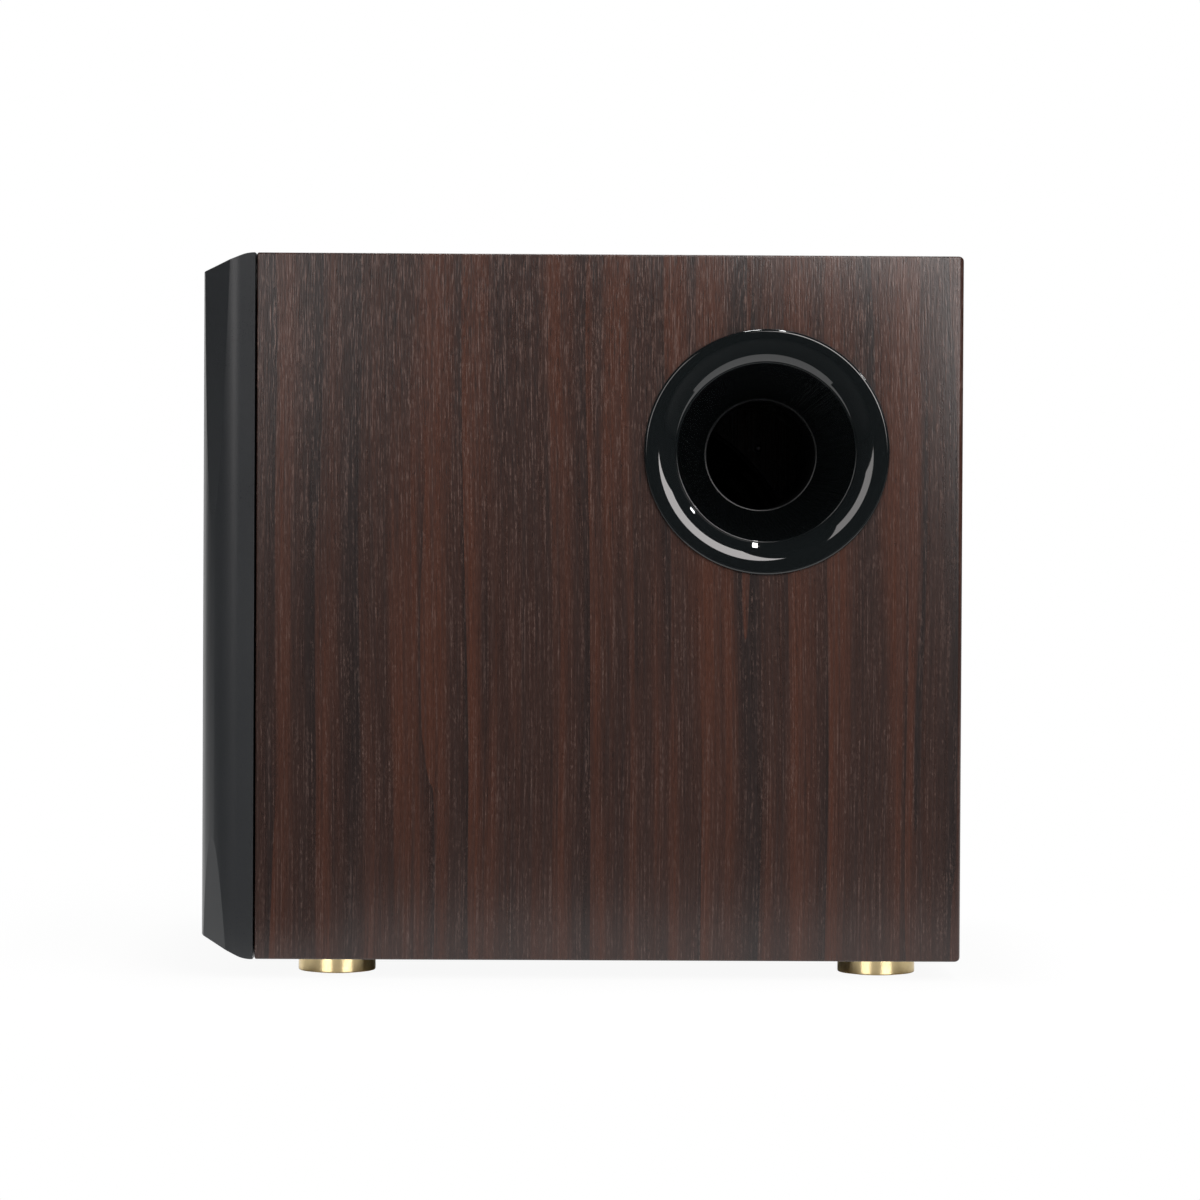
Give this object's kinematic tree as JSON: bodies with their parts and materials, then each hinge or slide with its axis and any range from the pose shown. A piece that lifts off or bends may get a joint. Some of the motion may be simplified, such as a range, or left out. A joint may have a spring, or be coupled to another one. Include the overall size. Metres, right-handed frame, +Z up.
{
  "type": "subwoofer",
  "caption": "Box-shaped powered subwoofer: wood-grain cabinet, moulded front, flared side port, side-firing driver behind a domed grille, rear amplifier plate.",
  "frame": {"origin": "on the floor, under the middle of the overall box", "axes": "+Z up, -Y towards the moulded front, +X towards the port side, -X towards the driver side"},
  "size_m": [0.252, 0.3162, 0.2926],
  "materials": {
    "vinyl_wrap": "dark wood-grain vinyl over fibreboard, satin",
    "bare_board": "bare fibreboard",
    "black_board": "fibreboard wrapped in black vinyl",
    "damping_felt": "needle felt",
    "cover_plastic": "satin moulded plastic",
    "port_gloss": "polished black",
    "tube_plastic": "plain black tube",
    "foot_brass": "turned and brushed, gold coloured",
    "foot_rubber": "soft pad",
    "basket_paint": "black powder coat on pressed steel",
    "gasket_foam": "foam strip",
    "trim_rubber": "matte black",
    "surround_rubber": "matte black",
    "cone_paper": "coated black paper pulp",
    "former_foil": "bare foil",
    "coil_wire": "enamelled copper wire",
    "spider_cloth": "resin treated cloth",
    "motor_steel": "zinc plated",
    "ferrite": "bare ferrite",
    "terminal_plastic": "moulded",
    "grille_paint": "black powder coat on pierced steel",
    "grille_frame_plastic": "moulded",
    "screw_black": "black oxide steel",
    "amp_plate_paint": "black powder coat",
    "heat_sink_anodise": "black anodised extrusion",
    "knob_plastic": "moulded",
    "control_steel": "plated case",
    "switch_plastic": "moulded",
    "inlet_plastic": "moulded",
    "jack_plastic": "moulded",
    "board_resin": "green circuit laminate",
    "capacitor_sleeve": "shrink sleeve",
    "core_steel": "varnished laminations",
    "winding_copper": "copper wire under yellow tape",
    "lead_sleeve": "black sleeve"
  },
  "bodies": {
    "root": {"right_side_panel": "vinyl_wrap", "left_side_panel": "vinyl_wrap", "top_panel": "vinyl_wrap", "bottom_panel": "vinyl_wrap", "front_baffle": "bare_board", "back_panel": "black_board", "damping_pad": "damping_felt", "front_panel": "cover_plastic", "port_flare": "port_gloss", "port_tube": "tube_plastic", "foot_front_left": "foot_brass", "foot_front_right": "foot_brass", "foot_rear_left": "foot_brass", "foot_rear_right": "foot_brass", "foot_pad_front_left": "foot_rubber", "foot_pad_front_right": "foot_rubber", "foot_pad_rear_left": "foot_rubber", "foot_pad_rear_right": "foot_rubber", "driver_basket": "basket_paint", "driver_gasket": "gasket_foam", "amp_gasket": "gasket_foam", "trim_ring": "trim_rubber", "surround": "surround_rubber", "spider": "spider_cloth", "top_plate": "motor_steel", "pole_yoke": "motor_steel", "magnet_ring": "ferrite", "driver_terminals": "terminal_plastic", "grille": "grille_paint", "grille_frame": "grille_frame_plastic", "driver_screw_1": "screw_black", "driver_screw_2": "screw_black", "driver_screw_3": "screw_black", "driver_screw_4": "screw_black", "amp_screw_1": "screw_black", "amp_screw_2": "screw_black", "amp_screw_3": "screw_black", "amp_screw_4": "screw_black", "amp_plate": "amp_plate_paint", "heat_sink": "heat_sink_anodise", "level_control": "control_steel", "crossover_control": "control_steel", "phase_switch_case": "control_steel", "power_switch_frame": "switch_plastic", "mains_inlet": "inlet_plastic", "jack_block": "jack_plastic", "circuit_board": "board_resin", "capacitor_1": "capacitor_sleeve", "capacitor_2": "capacitor_sleeve", "transformer_core": "core_steel", "transformer_winding": "winding_copper", "driver_lead": "lead_sleeve"},
    "cone_assembly": {"cone": "cone_paper", "dust_cap": "cone_paper", "voice_coil_former": "former_foil", "voice_coil": "coil_wire"},
    "level_knob_body": {"level_knob": "knob_plastic"},
    "crossover_knob_body": {"crossover_knob": "knob_plastic"},
    "phase_slider_body": {"phase_slider": "switch_plastic"},
    "power_rocker_body": {"power_rocker": "switch_plastic"}
  },
  "joints": [
    {"name": "cone_travel", "type": "slide", "parent": "root", "child": "cone_assembly", "axis": [-1, 0, 0], "range_m": [-0.006, 0.006], "stiffness_N_per_m": 1900, "deforming": ["surround", "spider"]},
    {"name": "level_knob_turn", "type": "hinge", "parent": "root", "child": "level_knob_body", "pos_m": [-0.01, 0.1453, 0.1741], "axis": [0, 1, 0], "range_deg": [-150, 150]},
    {"name": "crossover_knob_turn", "type": "hinge", "parent": "root", "child": "crossover_knob_body", "pos_m": [-0.045, 0.1453, 0.1741], "axis": [0, 1, 0], "range_deg": [-150, 150]},
    {"name": "phase_slider_move", "type": "slide", "parent": "root", "child": "phase_slider_body", "axis": [-1, 0, 0], "range_m": [0, 0.004]},
    {"name": "power_rocker_tilt", "type": "hinge", "parent": "root", "child": "power_rocker_body", "pos_m": [-0.0054, 0.1443, 0.0781], "axis": [1, 0, 0], "range_deg": [0, 24]}
  ]
}
